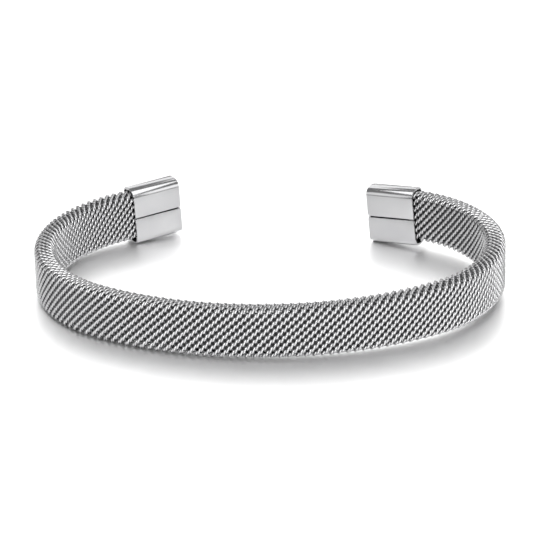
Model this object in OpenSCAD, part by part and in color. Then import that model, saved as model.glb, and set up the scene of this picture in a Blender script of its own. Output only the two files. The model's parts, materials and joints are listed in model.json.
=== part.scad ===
// Open cuff bracelet: a flattened sleeve of woven steel wire, bent into an open oval,
// with a folded sheet-steel cap on each end. It lies on its side, gap to the back (+Y).

/* [Band] */
// Width of the mesh band, which stands upright here
band_w = 7.0; // [5:0.1:9]
// Thickness of the flattened mesh sleeve
band_t = 2.8; // [2.4:0.1:3.6]
// Radius of the four long edges of the sleeve
band_edge_r = 0.85; // [0.4:0.05:1.15]

/* [Bend, along the middle of the band] */
// Radius of the long, nearly straight front
front_r = 41.4; // [36:0.1:60]
// Turn of the front to the left of its lowest point
front_turn_left = 35; // [25:0.1:40]
// Turn of the front to the right of its lowest point
front_turn_right = 30.8; // [25:0.1:40]
// Radius of the tight bend at the left side
side_r_left = 20.1; // [16:0.1:24]
// Turn of the left side
side_turn_left = 88.3; // [80:0.1:95]
// Radius of the tight bend at the right side
side_r_right = 19.2; // [16:0.1:24]
// Turn of the right side
side_turn_right = 98.7; // [80:0.1:100]
// Radius of the left arm, behind the side
arm_r_left = 20.6; // [16:0.1:40]
// Turn of the left arm
arm_turn_left = 28.6; // [15:0.1:35]
// Radius of the right arm, behind the side
arm_r_right = 16.5; // [14:0.1:40]
// Turn of the right arm
arm_turn_right = 21.8; // [15:0.1:35]

/* [End caps] */
// Length of a cap, from its mouth to its closed end
cap_l = 7.4; // [6:0.1:10]
// Width of a cap, upright here
cap_w = 8.5; // [8.3:0.1:10]
// Thickness of a cap
cap_t = 3.5; // [3.2:0.1:4.2]
// Outer radius of a cap's four folded edges
cap_edge_r = 1.05; // [0.6:0.05:1.3]
// Thickness of the folded sheet
sheet_t = 0.3; // [0.2:0.05:0.4]
// Width of the seam where the two flaps of the sheet meet, on the wrist side
seam_w = 0.2; // [0.1:0.05:0.4]
// Radius of the flaps' corners at the closed end
flap_corner_r = 0.35; // [0.2:0.05:0.6]
// Depth of the notch between those corners
notch_depth = 0.2; // [0.1:0.05:0.25]
// How far the left cap's closed end points up (negative) or down (positive)
cap_dip_left = -2.4; // [-3:0.1:3]
// How far the right cap's closed end points up (negative) or down (positive)
cap_dip_right = 4.7; // [-3:0.1:5]

/* [Hidden] */
$fn = 96;

// The crimped end of the sleeve is pressed in on its narrow sides, to go inside a cap with some
// room on its broad faces and before the cap's closed end
crimp_in = 0.2;
face_room = 0.2;
end_room = 0.6;
tongue_w = band_w - 2 * crimp_in;
tongue_t = cap_t - 2 * sheet_t - 2 * face_room;
tongue_r = tongue_t / 2 - crimp_in;
tongue_l = cap_l - sheet_t - end_room;
// Length of it that shows before the cap's mouth
tongue_lead = 0.5;

// How far a cutting shape starts outside what it cuts
cut_over = 0.1;

// Each arc is slimmer than the one before it by this much all round, and starts inside it
arc_step = 0.01;
arc_lap = 0.3;

// One arc of the bend is a radius and a turn; a side is its list of arcs
LEFT_ARCS = [
    [front_r, front_turn_left],
    [side_r_left, side_turn_left],
    [arm_r_left, arm_turn_left]
];
RIGHT_ARCS = [
    [front_r, front_turn_right],
    [side_r_right, side_turn_right],
    [arm_r_right, arm_turn_right]
];

// Sum of the turns before arc n, and the point where arc n starts
function heading(arcs, n) = n == 0 ? 0 : heading(arcs, n - 1) + arcs[n - 1][1];
function start(arcs, n) = n == 0 ? [0, 0] : start(arcs, n - 1) + arcs[n - 1][0] * [
    sin(heading(arcs, n)) - sin(heading(arcs, n - 1)),
    cos(heading(arcs, n - 1)) - cos(heading(arcs, n))
];
// A point given along and outward from the end of a side, in plan
function past_end(arcs, along, outward) =
    start(arcs, 3) + along * [cos(heading(arcs, 3)), sin(heading(arcs, 3))]
    + outward * [sin(heading(arcs, 3)), -cos(heading(arcs, 3))];

// Reach of the cuff to each side, to the front and to the back, from the front's lowest point
reach_left = side_r_left + (front_r - side_r_left) * sin(front_turn_left) + band_t / 2;
reach_right = side_r_right + (front_r - side_r_right) * sin(front_turn_right) + band_t / 2;
reach_front = -band_t / 2;
reach_back = past_end(LEFT_ARCS, tongue_lead + cap_l, cap_t / 2)[1];
middle = [(reach_right - reach_left) / 2, (reach_front + reach_back) / 2];

// The cuff rests on three spots: the left cap's mouth, the right cap's closed end, and the
// front of the band on its left half. Each is a plan point and its depth below mid-band.
left_plan = past_end(LEFT_ARCS, tongue_lead, 0);
right_plan = past_end(RIGHT_ARCS, tongue_lead + cap_l, 0);
left_spot = [-left_plan[0], left_plan[1], cap_w / 2];
right_spot = [
    right_plan[0], right_plan[1], cap_w / 2 * cos(cap_dip_right) + cap_l * sin(cap_dip_right)
];
// The spot under the band, at a given turn to the left of its lowest point in plan
function outer_foot(arcs, n, turn) = start(arcs, n)
    + arcs[n][0] * [sin(turn) - sin(heading(arcs, n)), cos(heading(arcs, n)) - cos(turn)]
    + (band_t / 2 - band_edge_r) * [sin(turn), -cos(turn)];
function foot_plan(turn) =
    outer_foot(LEFT_ARCS, turn > front_turn_left ? 1 : 0, turn);
function front_spot(turn) = [-foot_plan(turn)[0], foot_plan(turn)[1], band_w / 2];
// Slopes along x and y of the plane through the three, by Cramer's rule
function plane_slopes(a, b) =
    [a[2] * b[1] - b[2] * a[1], a[0] * b[2] - b[0] * a[2]] / (a[0] * b[1] - b[0] * a[1]);
function slopes(turn) = plane_slopes(left_spot - front_spot(turn), right_spot - front_spot(turn));
// The band touches where it faces straight down the slope, found in a few steps
function settled(turn, steps) =
    steps == 0 ? turn : settled(atan2(slopes(turn)[0], slopes(turn)[1]), steps - 1);
touch_turn = settled(40, 4);
slope_x = slopes(touch_turn)[0];
slope_y = slopes(touch_turn)[1];
mid_height = band_w / 2
    - [slope_x, slope_y] * [front_spot(touch_turn)[0], front_spot(touch_turn)[1]]
    + [slope_x, slope_y] * middle;

// Rounded rectangle, thickness along x and width along y
module rounded_plate(t, w, r) {
    union() {
        square([t - 2 * r, w], center = true);
        square([t, w - 2 * r], center = true);
        for (x = [-1, 1], y = [-1, 1])
            translate([x * (t / 2 - r), y * (w / 2 - r)]) circle(r);
    }
}

// Section of the band in arc n
module band_section(n)
    rounded_plate(band_t - 2 * n * arc_step, band_w - 2 * n * arc_step, band_edge_r - n * arc_step);

// Straight run of a 2D section along +X, its own +x to the wrist side
module straight(l) rotate([90, 0, 90]) linear_extrude(l) children();

// Puts its children at the start of arc n of a side, heading along +X
module at_arc(arcs, n)
    translate(concat(start(arcs, n), 0)) rotate([0, 0, heading(arcs, n)]) children();

// Arc n of a side, from a little before its start
module bent(arcs, n) {
    radius = arcs[n][0];
    lead_in = arc_lap / radius * 180 / PI;
    at_arc(arcs, n) translate([0, radius, 0]) rotate([0, 0, -90 - lead_in])
        rotate_extrude(angle = lead_in + arcs[n][1], $fn = 180)
            translate([radius, 0]) band_section(n);
}

// Both tight bends of one side, and the pressed end that goes into the cap
module side_run(arcs) {
    bent(arcs, 1);
    bent(arcs, 2);
    at_arc(arcs, 3) translate([-arc_lap, 0, 0]) straight(arc_lap + tongue_lead + tongue_l)
        rounded_plate(tongue_t, tongue_w, tongue_r);
}

// The front is one arc, the left part of it on the far side of the lowest point
module front_run()
    translate([0, front_r, 0]) rotate([0, 0, -90 - front_turn_left])
        rotate_extrude(angle = front_turn_left + front_turn_right, $fn = 180)
            translate([front_r, 0]) band_section(0);

// Lays the cuff on the surface: the wide caps lift its back by about one degree
module laid_down()
    translate([0, 0, mid_height]) rotate([atan(slope_y), -atan(slope_x), 0])
        translate([-middle[0], -middle[1], 0]) children();

// One folded cap from its mouth, closed at the far end, its seam on the wrist side (+Y)
module folded_cap() {
    seam_y = cap_t / 2;
    difference() {
        straight(cap_l) rounded_plate(cap_t, cap_w, cap_edge_r);
        translate([-cut_over, 0, 0]) straight(cap_l - sheet_t + cut_over)
            rounded_plate(cap_t - 2 * sheet_t, cap_w - 2 * sheet_t, cap_edge_r - sheet_t);
        translate([-cut_over, seam_y - sheet_t - cut_over, -seam_w / 2])
            cube([cap_l - sheet_t + cut_over, sheet_t + 2 * cut_over, seam_w]);
        translate([cap_l, seam_y + cut_over, 0]) rotate([90, 0, 0])
            cylinder(r = flap_corner_r, h = notch_depth + cut_over);
    }
}

// A cap on the end of a side: past the pressed lead of the band, dipped about its mouth
module cap_on(arcs, dip)
    at_arc(arcs, 3) translate([tongue_lead, 0, 0]) rotate([0, dip, 0]) folded_cap();

module mesh_band() color([0.55, 0.55, 0.56]) laid_down() {
    front_run();
    side_run(RIGHT_ARCS);
    mirror([1, 0, 0]) side_run(LEFT_ARCS);
}

module end_cap_left() color([0.82, 0.82, 0.83])
    laid_down() mirror([1, 0, 0]) cap_on(LEFT_ARCS, cap_dip_left);

module end_cap_right() color([0.82, 0.82, 0.83])
    laid_down() cap_on(RIGHT_ARCS, cap_dip_right);

mesh_band();
end_cap_left();
end_cap_right();
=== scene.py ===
import json
import math

import bmesh
import bpy
from mathutils import Matrix, Vector


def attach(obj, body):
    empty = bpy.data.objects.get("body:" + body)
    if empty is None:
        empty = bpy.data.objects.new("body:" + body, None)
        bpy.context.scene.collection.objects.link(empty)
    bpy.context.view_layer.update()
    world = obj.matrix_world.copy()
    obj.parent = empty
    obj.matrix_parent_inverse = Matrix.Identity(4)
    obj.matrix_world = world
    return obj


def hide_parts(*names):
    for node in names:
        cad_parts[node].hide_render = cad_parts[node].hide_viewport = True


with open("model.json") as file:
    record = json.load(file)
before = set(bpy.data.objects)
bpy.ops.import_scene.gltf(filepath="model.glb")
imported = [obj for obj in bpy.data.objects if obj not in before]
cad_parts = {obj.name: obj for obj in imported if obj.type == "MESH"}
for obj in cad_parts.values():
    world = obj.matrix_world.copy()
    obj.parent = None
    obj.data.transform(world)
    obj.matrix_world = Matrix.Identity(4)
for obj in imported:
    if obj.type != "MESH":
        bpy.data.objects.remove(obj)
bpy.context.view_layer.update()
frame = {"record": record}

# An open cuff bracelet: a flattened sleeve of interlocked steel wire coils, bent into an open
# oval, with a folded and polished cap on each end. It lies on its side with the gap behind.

MM = 0.001

# The bend of the band: the radius in mm and the turn in degrees of each arc of its middle line,
# out from the lowest point of the front
FRONT_R = 41.4
LEFT_BENDS = ((FRONT_R, 35.0), (20.1, 88.3), (20.6, 28.6))
RIGHT_BENDS = ((FRONT_R, 30.8), (19.2, 98.7), (16.5, 21.8))
# Straight length before the cap's mouth
MOUTH_LEAD = 0.5

# The section of the woven sleeve
BAND_W = 7.0
BAND_T = 2.8
BAND_EDGE_R = 0.85

# The weave: rows of round wire coils, each hooked into the next half a turn on
WIRE_D = 0.34
ROWS = 32
COIL_PITCH = 1.145
COIL_DEPTH = 0.72
COIL_LEAN = 0.02
# The crests stand proud of the plain form on top and on both faces, but not underneath
CREST_TOP = 0.3
CREST_FACES = 0.06
COIL_POINTS = 12
WIRE_SIDES = 6
ROWS_A_PIECE = 8
# Painted shade on the wrist side, inside the loop: how much darker, and a little rougher, the wires
# are made there
WRIST_SHADE = 0.1
# Each face of the sleeve is pressed in by this much at a cap's mouth, over this length of band,
# and the wires go on into the cap
MOUTH_SQUEEZE = 0.12
SQUEEZE_RUN = 1.0
INTO_CAP = 1.2

# A dark core inside the sleeve, painted shade that stands for the shaded inside of the weave; it
# shows only as darkness behind the wires
STRIP_W = 5.5
STRIP_T = 0.6
STRIP_EDGE_R = 0.35 * STRIP_T
STRIP_EDGE_STEPS = 4
# Its bends are spun in steps of this many degrees, and never in fewer steps than this
STRIP_TURN_A_STEP = 3
STRIP_LEAST_STEPS = 6
# How far inside an arc, in mm, its centre is worked out from
JUST_INSIDE = 0.001

# The folded caps, and how far each one's closed end points down from its mouth, in degrees
CAP_L = 7.4
CAP_W = 8.5
CAP_T = 3.5
CAP_EDGE_R = 1.05
CAP_CROWN = 0.09
SHEET_T = 0.3
SEAM_W = 0.2
FLAP_CORNER_R = 0.35
LIP_R = 0.05
CAP_DIP_LEFT = -2.4
CAP_DIP_RIGHT = 4.7

# Steps in the rounded edges, and the angles in degrees from which an edge is eased or sharp
FOLD_STEPS = 14
CORNER_STEPS = 6
CROWN_CUTS = 7
LIP_STEPS = 3
EASED_FROM = 40
SHARP_FROM = 22

# Tests on a cap in its own frame: past this y lies the wall on the wrist side, past this x the
# closed end, and a direction counts as lengthwise when its x is above this
WRIST_WALL_Y = 0.49 * CAP_T
CLOSED_END_X = 0.9 * CAP_L
LENGTHWISE = 0.9

# The table, and its size in m
TABLE_SIZE = 3.0
TABLE_CUTS = 8

# The camera: the photograph's angle to the surface, with a long lens. Angles are in degrees, and
# the lens and the sensor in mm
CAMERA_TARGET = Vector((0.018, -0.341, 3.368)) * MM
CAMERA_ELEVATION = 22.22
CAMERA_AZIMUTH = 0.387
CAMERA_ROLL = 0.542
CAMERA_DISTANCE = 388.97 * MM
CAMERA_LENS = 185.245
CAMERA_SENSOR = 36.0
CAMERA_SEES_FROM = 10 * MM
CAMERA_SEES_TO = 20.0

# The pale room around the table
ROOM_STRENGTH = 0.2


def bend_length(bends):
    """Length in mm along the outer face of the band, over a side's bends."""
    return sum((radius + BAND_T / 2) * math.radians(turn) for radius, turn in bends)


LEFT_END = bend_length(LEFT_BENDS) + MOUTH_LEAD
RIGHT_END = bend_length(RIGHT_BENDS) + MOUTH_LEAD


def middle_of_band(along):
    """Plan place in mm, tangent and outward direction, at a length from the front's lowest point.

    Lengths run along the outer face: there the weave keeps its pitch, and the bends crowd it
    together on the wrist side."""
    side = 1 if along >= 0 else -1
    bends = RIGHT_BENDS if side > 0 else LEFT_BENDS
    left = abs(along)
    x = y = turned = 0.0
    for radius, turn in bends:
        outer = radius + BAND_T / 2
        part = min(left, outer * math.radians(turn))
        after = turned + part / outer
        x += radius * (math.sin(after) - math.sin(turned))
        y += radius * (math.cos(turned) - math.cos(after))
        turned = after
        left -= part
    x += left * math.cos(turned)
    y += left * math.sin(turned)
    place = Vector((side * x, y, 0))
    tangent = Vector((math.cos(turned), side * math.sin(turned), 0))
    outward = Vector((side * math.sin(turned), -math.cos(turned), 0))
    return place, tangent, outward


def cap_axes(side):
    """Place of a cap's mouth, and the cap's own directions: to its closed end, to the wrist, up."""
    end, dip = (RIGHT_END, CAP_DIP_RIGHT) if side > 0 else (LEFT_END, CAP_DIP_LEFT)
    place, tangent, outward = middle_of_band(side * end)
    lean = math.radians(dip)
    away = side * tangent
    up = Vector((0, 0, 1))
    along = away * math.cos(lean) - up * math.sin(lean)
    over = up * math.cos(lean) + away * math.sin(lean)
    return place, along, -outward, over


def resting_place():
    """Turns the band's own plan, in mm, into its place in the frame, from the caps' outer faces."""
    mounts = {mount["name"]: mount for mount in frame["record"]["mounts"]}
    right = mounts["cap_face_right"]
    away_left = Vector(mounts["cap_face_left"]["axis"]).normalized()
    away = Vector(right["axis"]).normalized()
    # Both normals lie in the band's own plan, so its up is at right angles to both
    up = away.cross(away_left).normalized()
    place, along, wrist_side, _ = cap_axes(1)
    own_up = Vector((0, 0, 1))
    own = Matrix((-wrist_side, own_up, (-wrist_side).cross(own_up))).transposed()
    world = Matrix((away, up, away.cross(up))).transposed()
    turn = world @ own.transposed()
    face = place + along * (CAP_L / 2) - wrist_side * (CAP_T / 2)
    shift = Vector(right["pos_m"]) - turn @ (face * MM)
    return Matrix.Translation(shift) @ turn.to_4x4() @ Matrix.Scale(MM, 4)


REST = resting_place()


def linear(hex_colour):
    """An sRGB hex colour as the linear numbers that a shader reads."""
    def channel(shift):
        value = ((hex_colour >> shift) & 255) / 255
        return value / 12.92 if value <= 0.04045 else ((value + 0.055) / 1.055) ** 2.4
    return (channel(16), channel(8), channel(0), 1.0)


def add_node(tree, kind, settings=None, inputs=None):
    """Adds one node, with its settings and its inputs: a value, or the socket that feeds it."""
    node = tree.nodes.new(kind)
    for name, value in (settings or {}).items():
        setattr(node, name, value)
    for name, value in (inputs or {}).items():
        if isinstance(value, bpy.types.NodeSocket):
            tree.links.new(value, node.inputs[name])
        else:
            node.inputs[name].default_value = value
    return node


def new_material(name):
    """An empty material with a Principled shader, its node tree and its Object coordinates."""
    material = bpy.data.materials.new(name)
    material.use_nodes = True
    tree = material.node_tree
    shader = tree.nodes["Principled BSDF"]
    where = add_node(tree, "ShaderNodeTexCoord").outputs["Object"]
    return material, tree, shader, where


def ramp(tree, fac, stops):
    """A colour ramp with (place, hex colour) stops."""
    node = add_node(tree, "ShaderNodeValToRGB", inputs={"Fac": fac})
    elements = node.color_ramp.elements
    while len(elements) < len(stops):
        elements.new(1.0)
    for element, (place, colour) in zip(elements, stops):
        element.position = place
        element.color = linear(colour)
    return node.outputs["Color"]


def tumbled_stainless_wire():
    """Stainless wire, drawn, woven and tumbled, its colour darkened into the valleys and on the
    wrist side as painted shade.
    """
    material, tree, shader, where = new_material("tumbled_stainless_wire")
    crest_and_shade = add_node(tree, "ShaderNodeAttribute", {"attribute_name": "crest_and_shade"}).outputs["Fac"]
    # The colour runs from pale steel on the crests to a darker grey in the valleys: painted shade
    # in the recesses between the wires. The crests, polished by tumbling, are also smoother
    colour = ramp(tree, crest_and_shade, ((0.0, 0x707072), (0.35, 0x98989A), (0.85, 0xCECECF)))
    rough = add_node(tree, "ShaderNodeMapRange", inputs={
        "Value": crest_and_shade, "From Min": 0.2, "From Max": 0.8, "To Min": 0.42, "To Max": 0.2})
    # Drawing marks, really finer than this, kept just coarse enough to break the highlights
    mark_size = 0.12 * MM
    mark_depth = 0.01 * MM
    marks = add_node(tree, "ShaderNodeTexNoise", inputs={
        "Vector": where, "Scale": 1 / mark_size, "Detail": 2.0})
    bump = add_node(tree, "ShaderNodeBump", inputs={
        "Height": marks.outputs["Fac"], "Strength": 0.03, "Distance": mark_depth})
    tree.links.new(colour, shader.inputs["Base Color"])
    tree.links.new(rough.outputs["Result"], shader.inputs["Roughness"])
    tree.links.new(bump.outputs["Normal"], shader.inputs["Normal"])
    shader.inputs["Metallic"].default_value = 1.0
    return material


def painted_shade_core():
    """A dark grey core, painted shade, so the gaps of the weave read as dark pits."""
    material, tree, shader, where = new_material("painted_shade_core")
    grain_size = 0.4 * MM
    grain = add_node(tree, "ShaderNodeTexNoise", inputs={
        "Vector": where, "Scale": 1 / grain_size, "Detail": 3.0})
    colour = ramp(tree, grain.outputs["Fac"], ((0.35, 0x606061), (0.65, 0x6C6C6D)))
    tree.links.new(colour, shader.inputs["Base Color"])
    shader.inputs["Metallic"].default_value = 0.0
    shader.inputs["Roughness"].default_value = 0.7
    return material


def polished_stainless_sheet():
    """Stainless sheet, folded and buffed: near mirror, with faint lengthwise buffing lines."""
    material, tree, shader, where = new_material("polished_stainless_sheet")
    line_length = 6.0 * MM
    line_spacing = 0.15 * MM
    line_depth = 0.02 * MM
    smudge_size = 4.0 * MM
    lines = add_node(tree, "ShaderNodeMapping", inputs={
        "Vector": where, "Scale": (1 / line_length, 1 / line_length, 1 / line_spacing)})
    buffing = add_node(tree, "ShaderNodeTexNoise", inputs={
        "Vector": lines.outputs["Vector"], "Scale": 1.0, "Detail": 4.0, "Roughness": 0.6})
    rough = add_node(tree, "ShaderNodeMapRange", inputs={
        "Value": buffing.outputs["Fac"], "From Min": 0.3, "From Max": 0.7,
        "To Min": 0.17, "To Max": 0.23})
    smudges = add_node(tree, "ShaderNodeTexNoise", inputs={
        "Vector": where, "Scale": 1 / smudge_size, "Detail": 2.0})
    colour = ramp(tree, smudges.outputs["Fac"], ((0.3, 0xD2D2D4), (0.7, 0xDADADB)))
    bump = add_node(tree, "ShaderNodeBump", inputs={
        "Height": buffing.outputs["Fac"], "Strength": 0.02, "Distance": line_depth})
    tree.links.new(colour, shader.inputs["Base Color"])
    tree.links.new(rough.outputs["Result"], shader.inputs["Roughness"])
    tree.links.new(bump.outputs["Normal"], shader.inputs["Normal"])
    shader.inputs["Metallic"].default_value = 1.0
    return material


def painted_shade_cap_inside():
    """Near black for the inside faces of the caps, painted shade, so mouth and seam look dark and
    deep.
    """
    material, tree, shader, where = new_material("painted_shade_cap_inside")
    mottle_size = 0.8 * MM
    mottle = add_node(tree, "ShaderNodeTexNoise", inputs={
        "Vector": where, "Scale": 1 / mottle_size, "Detail": 3.0})
    colour = ramp(tree, mottle.outputs["Fac"], ((0.35, 0x0E0E0E), (0.65, 0x191919)))
    tree.links.new(colour, shader.inputs["Base Color"])
    shader.inputs["Roughness"].default_value = 0.55
    return material


def glossy_white_table():
    """White acrylic sheet, polished: it mirrors what stands on it, softly and not far.

    It is set mostly metallic, since a plain plastic mirrors far less than the photograph does."""
    material, tree, shader, where = new_material("glossy_white_table")
    cloud_size = 60.0 * MM
    cloud = add_node(tree, "ShaderNodeTexNoise", inputs={
        "Vector": where, "Scale": 1 / cloud_size, "Detail": 2.0})
    colour = ramp(tree, cloud.outputs["Fac"], ((0.3, 0xFAFAFA), (0.7, 0xFCFCFC)))
    tree.links.new(colour, shader.inputs["Base Color"])
    shader.inputs["Metallic"].default_value = 0.88
    shader.inputs["Roughness"].default_value = 0.45
    return material


def finish_piece(piece, name, material, slot, *nodes):
    """Names a piece, gives it its finish and says what CAD body and nodes it goes with."""
    piece.name = name
    piece.data.name = name
    if material:
        piece.data.materials.clear()
        piece.data.materials.append(material)
    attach(piece, "root")
    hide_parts(*nodes)
    return piece


def object_from(mesh_maker, name):
    """A new object in the scene, its mesh filled from a bmesh that mesh_maker works on."""
    mesh = bpy.data.meshes.new(name)
    work = bmesh.new()
    mesh_maker(work)
    work.to_mesh(mesh)
    work.free()
    piece = bpy.data.objects.new(name, mesh)
    bpy.context.scene.collection.objects.link(piece)
    return piece


def made_solid(piece):
    """The same object with its curve or modifiers turned into a plain mesh."""
    bpy.context.view_layer.update()
    seen = piece.evaluated_get(bpy.context.evaluated_depsgraph_get())
    mesh = bpy.data.meshes.new_from_object(seen)
    solid = bpy.data.objects.new(piece.name, mesh)
    bpy.context.scene.collection.objects.link(solid)
    bpy.data.objects.remove(piece)
    return solid


def round_the_sleeve(way, squeeze):
    """Place and outward direction in the section, at a length around it from its outer middle.

    The section is a rounded rectangle through the middles of the coils. It goes up the outer
    face, over the top edge, down the wrist face and back under. squeeze thins it."""
    inset = COIL_DEPTH / 2
    radius = BAND_EDGE_R - inset
    flat_up = (BAND_W + CREST_TOP) / 2 - BAND_EDGE_R
    flat_across = BAND_T / 2 + CREST_FACES - BAND_EDGE_R
    corner = radius * math.pi / 2
    thin = flat_across - squeeze
    # Each run: its kind, its length, its start or its centre, and its heading or its first angle
    runs = (
        ("line", flat_up, (flat_across + radius, 0), 90),
        ("arc", corner, (flat_across, flat_up), 0),
        ("line", 2 * flat_across, (flat_across, flat_up + radius), 180),
        ("arc", corner, (-flat_across, flat_up), 90),
        ("line", 2 * flat_up, (-flat_across - radius, flat_up), 270),
        ("arc", corner, (-flat_across, -flat_up), 180),
        ("line", 2 * flat_across, (-flat_across, -flat_up - radius), 0),
        ("arc", corner, (flat_across, -flat_up), 270),
        ("line", flat_up, (flat_across + radius, -flat_up), 90),
    )
    left = way
    for kind, length, (across, up), angle in runs:
        if left <= length:
            break
        left -= length
    if kind == "line":
        heading = math.radians(angle)
        across += left * math.cos(heading)
        up += left * math.sin(heading)
        facing = heading - math.pi / 2
    else:
        facing = math.radians(angle) + left / radius
        across += radius * math.cos(facing)
        up += radius * math.sin(facing)
    across *= (thin + radius) / (flat_across + radius)
    return across, up + CREST_TOP / 2, facing


def sleeve_girth():
    """Length in mm once around the section through the middles of the coils."""
    radius = BAND_EDGE_R - COIL_DEPTH / 2
    flats = 2 * (BAND_W + CREST_TOP - 2 * BAND_EDGE_R)
    flats += 2 * (BAND_T + 2 * CREST_FACES - 2 * BAND_EDGE_R)
    return flats + 2 * math.pi * radius


def squeeze_at(along):
    """How much each face of the sleeve is pressed in, at a length along the band."""
    to_end = min(along + LEFT_END, RIGHT_END - along)
    share = 1 - min(max(to_end / SQUEEZE_RUN, 0.0), 1.0)
    return MOUTH_SQUEEZE * share * share * (3 - 2 * share)


def coil_points():
    """Number of points along one row of the weave, from inside one cap to inside the other."""
    return int((LEFT_END + RIGHT_END + 2 * INTO_CAP) / COIL_PITCH * COIL_POINTS)


def coil_row(curve, row):
    """One row of the weave: a left-handed coil of wire, as a spline of the curve.

    Gives back a value for each of its points, from the valleys at 0 to the crests at 1, lowered on
    the wrist side: it sets how polished the wire is there, and its painted shade."""
    spacing = sleeve_girth() / ROWS
    reach = (spacing + WIRE_D) / 2
    depth = (COIL_DEPTH - WIRE_D) / 2
    # Every other row is half a pitch on, and once around the sleeve they drift by a whole pitch
    shift = COIL_PITCH * (row % 2) / 2 - COIL_PITCH * row / ROWS
    first = -LEFT_END - INTO_CAP
    last = RIGHT_END + INTO_CAP
    count = coil_points()
    spline = curve.splines.new("POLY")
    spline.points.add(count - 1)
    polish_and_shade = []
    for number in range(count):
        phase = 2 * math.pi * number / COIL_POINTS
        # The lean of a coil along its row makes its outer strands steeper
        along = first + shift + COIL_PITCH * number / COIL_POINTS + COIL_LEAN * math.cos(phase)
        along = min(max(along, first), last)
        way = (row + 0.5) * spacing + reach * -math.cos(phase)
        across, up, facing = round_the_sleeve(way % sleeve_girth(), squeeze_at(along))
        lift = depth * math.sin(phase)
        across += lift * math.cos(facing)
        up += lift * math.sin(facing)
        place, _, outward = middle_of_band(along)
        spline.points[number].co = (*(place + outward * across + Vector((0, 0, up))), 1)
        # Painted shade: the value drops into the valleys and on the wrist side, and the wire is
        # coloured darker there
        to_wrist = (1 - math.cos(facing)) / 2
        polish_and_shade.append(0.5 + 0.5 * math.sin(phase) - WRIST_SHADE * to_wrist ** 2)
    return polish_and_shade


def woven_rows(name, first_row, material):
    """A few neighbouring rows of the weave, as one piece."""
    curve = bpy.data.curves.new(name, "CURVE")
    curve.dimensions = "3D"
    curve.bevel_depth = WIRE_D / 2
    curve.bevel_resolution = (WIRE_SIDES - 4) // 2
    polish_and_shade = []
    for row in range(first_row, first_row + ROWS_A_PIECE):
        polish_and_shade += coil_row(curve, row)
    piece = bpy.data.objects.new(name, curve)
    bpy.context.scene.collection.objects.link(piece)
    piece = made_solid(piece)
    mark_crests_and_shade(piece.data, polish_and_shade)
    piece.data.transform(REST)
    for polygon in piece.data.polygons:
        polygon.use_smooth = True
    return finish_piece(piece, name, material, "mesh_steel", "mesh_band")


def mark_crests_and_shade(mesh, polish_and_shade):
    """Stores the polish and the painted shade of the wires, one value for each ring of points
    around a wire.
    """
    assert len(mesh.vertices) == len(polish_and_shade) * WIRE_SIDES
    crest_and_shade = mesh.attributes.new("crest_and_shade", "FLOAT", "POINT")
    crest_and_shade.data.foreach_set("value", [value for value in polish_and_shade for _ in range(WIRE_SIDES)])


def rounded(work, geom, radius, steps, affect="VERTICES"):
    """Rounds off corners, or edges, by an arc of a radius."""
    bmesh.ops.bevel(work, geom=geom, offset=radius, segments=steps, profile=0.5,
                    affect=affect, material=-1)


def rounded_rectangle(work, size_x, size_y, radius, steps):
    """A flat face about the origin, its corners rounded off."""
    bmesh.ops.create_grid(work, x_segments=1, y_segments=1, size=0.5)
    bmesh.ops.scale(work, vec=(size_x, size_y, 1), verts=work.verts)
    rounded(work, work.verts, radius, steps)


def extruded(work, faces, step):
    """Pulls faces out by a step and returns the new end faces."""
    pulled = bmesh.ops.extrude_face_region(work, geom=faces)
    moved = [g for g in pulled["geom"] if isinstance(g, bmesh.types.BMVert)]
    bmesh.ops.translate(work, vec=step, verts=moved)
    return [g for g in pulled["geom"] if isinstance(g, bmesh.types.BMFace)]


def shade_core(material):
    """The dark core inside the sleeve, painted shade: its section is spun through each bend in
    turn.
    """
    def shape(work):
        rounded_rectangle(work, STRIP_T, STRIP_W, STRIP_EDGE_R, STRIP_EDGE_STEPS)
        mouth, tangent, outward = middle_of_band(-LEFT_END)
        stand = Matrix((outward, Vector((0, 0, 1)), tangent)).transposed().to_4x4()
        bmesh.ops.transform(work, matrix=Matrix.Translation(mouth) @ stand, verts=work.verts)
        reached = MOUTH_LEAD - LEFT_END
        end = extruded(work, list(work.faces), middle_of_band(reached)[0] - mouth)
        for radius, turn in (*reversed(LEFT_BENDS), *RIGHT_BENDS):
            place, _, outward = middle_of_band(reached + JUST_INSIDE)
            centre = place - outward * radius
            steps = max(STRIP_LEAST_STEPS, int(turn / STRIP_TURN_A_STEP))
            spun = bmesh.ops.spin(work, geom=end, cent=centre, axis=(0, 0, 1),
                                  angle=math.radians(turn), steps=steps, use_merge=False,
                                  use_duplicate=False, dvec=(0, 0, 0), space=Matrix(),
                                  use_normal_flip=False)
            end = [g for g in spun["geom_last"] if isinstance(g, bmesh.types.BMFace)]
            reached += (radius + BAND_T / 2) * math.radians(turn)
        bmesh.ops.recalc_face_normals(work, faces=work.faces)
    piece = object_from(shape, "shade_core")
    piece.data.transform(REST)
    for polygon in piece.data.polygons:
        polygon.use_smooth = len(polygon.vertices) == 4
    return finish_piece(piece, "shade_core", material, "mesh_steel", "mesh_band")


def cap_place(side):
    """Matrix from a cap's own frame to the plan: x to its closed end, y to the wrist."""
    place, along, wrist_side, over = cap_axes(side)
    # The cap is the same upside down, so the left one is turned over and not mirrored
    turn = Matrix((along, wrist_side, side * over)).transposed().to_4x4()
    return Matrix.Translation(place) @ turn


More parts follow.
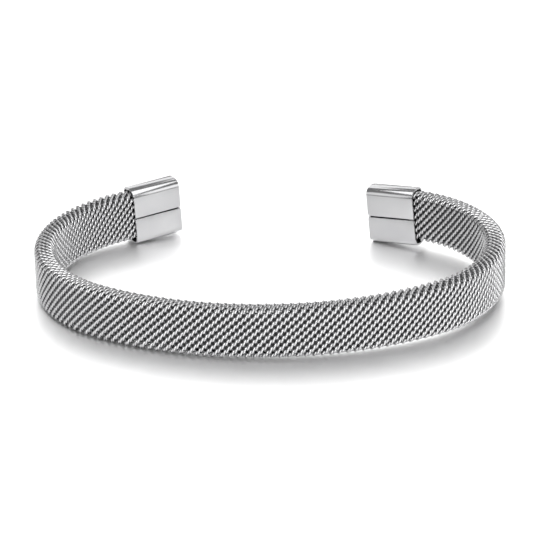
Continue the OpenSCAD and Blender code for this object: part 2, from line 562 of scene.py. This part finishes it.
def crown_narrow_sides(work):
    """Swells the flat strip between the folds, at the top and at the bottom of a cap."""
    half_flat = CAP_T / 2 - CAP_EDGE_R
    across = [edge for edge in work.edges
              if min(abs(v.co.z) for v in edge.verts) > CAP_W / 2 - CAP_CROWN
              and abs(edge.verts[0].co.y - edge.verts[1].co.y) > half_flat]
    bmesh.ops.subdivide_edges(work, edges=across, cuts=CROWN_CUTS)
    for v in work.verts:
        share = v.co.y / half_flat
        if abs(v.co.z) > CAP_W / 2 - CAP_CROWN and abs(share) < 1:
            v.co.z += math.copysign(CAP_CROWN * (1 - share * share), v.co.z)


def wrist_wall(work):
    """The faces of a cap's sheet on its wrist side, between the folds."""
    return [face for face in work.faces if face.calc_center_median().y > WRIST_WALL_Y]


def folded_sheet(work):
    """The sheet of a cap in its own frame: a tube with rounded folds, slit along the wrist side."""
    bmesh.ops.create_cube(work, size=1)
    bmesh.ops.scale(work, vec=(CAP_L, CAP_T, CAP_W - CAP_CROWN), verts=work.verts)
    bmesh.ops.translate(work, vec=(CAP_L / 2, 0, 0), verts=work.verts)
    ends = [face for face in work.faces if abs(face.normal.x) > LENGTHWISE]
    bmesh.ops.delete(work, geom=ends, context="FACES_ONLY")
    folds = [edge for edge in work.edges
             if abs((edge.verts[0].co - edge.verts[1].co).normalized().x) > LENGTHWISE]
    rounded(work, folds, CAP_EDGE_R, FOLD_STEPS, affect="EDGES")
    crown_narrow_sides(work)
    for height in (SEAM_W / 2, -SEAM_W / 2):
        wall = wrist_wall(work)
        around = wall + list(dict.fromkeys(e for face in wall for e in face.edges))
        around += list(dict.fromkeys(v for face in wall for v in face.verts))
        bmesh.ops.bisect_plane(work, geom=around, plane_co=(0, 0, height), plane_no=(0, 0, 1))
    slit = [face for face in wrist_wall(work)
            if abs(face.calc_center_median().z) < SEAM_W / 2]
    bmesh.ops.delete(work, geom=slit, context="FACES")
    corners = [v for v in work.verts
               if v.co.y > WRIST_WALL_Y and abs(v.co.z) < SEAM_W and v.co.x > CLOSED_END_X]
    rounded(work, corners, FLAP_CORNER_R, CORNER_STEPS)


def closing_plate(work):
    """The plate that closes the far end of a cap, just inside the folded sheet."""
    plate_w = CAP_W + CAP_CROWN - 2 * SHEET_T
    plate_t = CAP_T - 2 * SHEET_T
    rounded_rectangle(work, plate_w, plate_t, CAP_EDGE_R - SHEET_T, CORNER_STEPS)
    bmesh.ops.rotate(work, cent=(0, 0, 0), matrix=Matrix.Rotation(math.pi / 2, 3, "Y"),
                     verts=work.verts)
    bmesh.ops.translate(work, vec=(CAP_L - SHEET_T, 0, 0), verts=work.verts)
    extruded(work, list(work.faces), Vector((SHEET_T - LIP_R / 2, 0, 0)))
    bmesh.ops.recalc_face_normals(work, faces=work.faces)


def end_cap(name, side, material, inside):
    """One cap: its folded sheet with eased edges, and the plate at its closed end."""
    sheet = object_from(folded_sheet, name)
    sheet.data.materials.append(material)
    sheet.data.materials.append(inside)
    wall = sheet.modifiers.new("sheet", "SOLIDIFY")
    wall.thickness = SHEET_T
    wall.offset = -1
    wall.use_even_offset = True
    # The inside faces take the near black of painted shade
    wall.material_offset = 1
    easing = sheet.modifiers.new("eased_edges", "BEVEL")
    easing.width = LIP_R
    easing.segments = LIP_STEPS
    easing.limit_method = "ANGLE"
    easing.angle_limit = math.radians(EASED_FROM)
    sheet = made_solid(sheet)
    plate = object_from(closing_plate, name + "_plate")
    both = bmesh.new()
    both.from_mesh(sheet.data)
    both.from_mesh(plate.data)
    both.to_mesh(sheet.data)
    both.free()
    bpy.data.objects.remove(plate)
    sheet.data.transform(REST @ cap_place(side))
    sheet.data.set_sharp_from_angle(angle=math.radians(SHARP_FROM))
    for polygon in sheet.data.polygons:
        polygon.use_smooth = True
    return finish_piece(sheet, name, None, "cap_steel", name)


def table(material):
    """The glossy white surface that the cuff lies on."""
    def shape(work):
        bmesh.ops.create_grid(
            work, x_segments=TABLE_CUTS, y_segments=TABLE_CUTS, size=TABLE_SIZE / 2)
    piece = object_from(shape, "table")
    piece.data.materials.append(material)
    return piece


def camera():
    """The photograph's camera, with its small roll."""
    data = bpy.data.cameras.new("camera")
    data.lens = CAMERA_LENS
    data.sensor_width = CAMERA_SENSOR
    data.sensor_fit = "HORIZONTAL"
    data.clip_start = CAMERA_SEES_FROM
    data.clip_end = CAMERA_SEES_TO
    holder = bpy.data.objects.new("camera", data)
    elevation = math.radians(CAMERA_ELEVATION)
    azimuth = math.radians(CAMERA_AZIMUTH)
    look = Vector((math.sin(azimuth) * math.cos(elevation),
                   math.cos(azimuth) * math.cos(elevation), -math.sin(elevation)))
    level = look.to_track_quat("-Z", "Y").to_matrix()
    turned = level @ Matrix.Rotation(math.radians(-CAMERA_ROLL), 3, "Z")
    at = CAMERA_TARGET - look * CAMERA_DISTANCE
    holder.matrix_world = Matrix.Translation(at) @ turned.to_4x4()
    bpy.context.scene.collection.objects.link(holder)
    bpy.context.scene.camera = holder


def softbox(name, place, aim, width, height, brightness, only=None):
    """One soft rectangular light, in mm; a brightness of 1 mirrors as plain white in a metal.

    With only, it lights that one object and nothing else."""
    data = bpy.data.lights.new(name, "AREA")
    data.shape = "RECTANGLE"
    data.size = width * MM
    data.size_y = height * MM
    data.energy = brightness * 4 * data.size * data.size_y
    lamp = bpy.data.objects.new(name, data)
    at = Vector(place) * MM
    lamp.matrix_world = Matrix.Translation(at) @ (
        (Vector(aim) * MM - at).to_track_quat("-Z", "Y").to_matrix().to_4x4())
    bpy.context.scene.collection.objects.link(lamp)
    if only:
        lit = bpy.data.collections.new(name + "_lights")
        lit.objects.link(only)
        lamp.light_linking.receiver_collection = lit


def studio(surface):
    """Soft light from above, behind and in front, one on the table alone, and a pale surround."""
    world = bpy.data.worlds.new("studio")
    bpy.context.scene.world = world
    world.use_nodes = True
    background = world.node_tree.nodes["Background"]
    background.inputs["Color"].default_value = linear(0xFFFFFF)
    background.inputs["Strength"].default_value = ROOM_STRENGTH
    softbox("overhead", place=(0, -100, 400), aim=(0, -100, 0),
            width=420, height=560, brightness=1.2)
    softbox("table_light", place=(0, 400, 560), aim=(0, 0, 40),
            width=900, height=450, brightness=2.0, only=surface)
    softbox("back_paper", place=(0, 620, 250), aim=(0, 0, 0),
            width=1100, height=284, brightness=0.82)
    softbox("front", place=(0, -460, 215), aim=(0, 0, 0),
            width=480, height=290, brightness=2.6)
    softbox("front_left", place=(-400, -215, 150), aim=(0, 0, 0),
            width=340, height=300, brightness=0.6)
    softbox("front_right", place=(400, -215, 150), aim=(0, 0, 0),
            width=340, height=300, brightness=0.9)
    bpy.context.scene.view_settings.view_transform = "Standard"


def build():
    """Makes every piece, the table, the light and the camera."""
    wire = tumbled_stainless_wire()
    for number in range(ROWS // ROWS_A_PIECE):
        woven_rows(f"woven_rows_{number + 1}", number * ROWS_A_PIECE, wire)
    # The dark core inside the sleeve is painted shade
    shade_core(painted_shade_core())
    sheet = polished_stainless_sheet()
    # Near black for the caps' inside faces: painted shade
    cap_inside_shade = painted_shade_cap_inside()
    end_cap("end_cap_left", -1, sheet, cap_inside_shade)
    end_cap("end_cap_right", 1, sheet, cap_inside_shade)
    studio(table(glossy_white_table()))
    camera()


build()
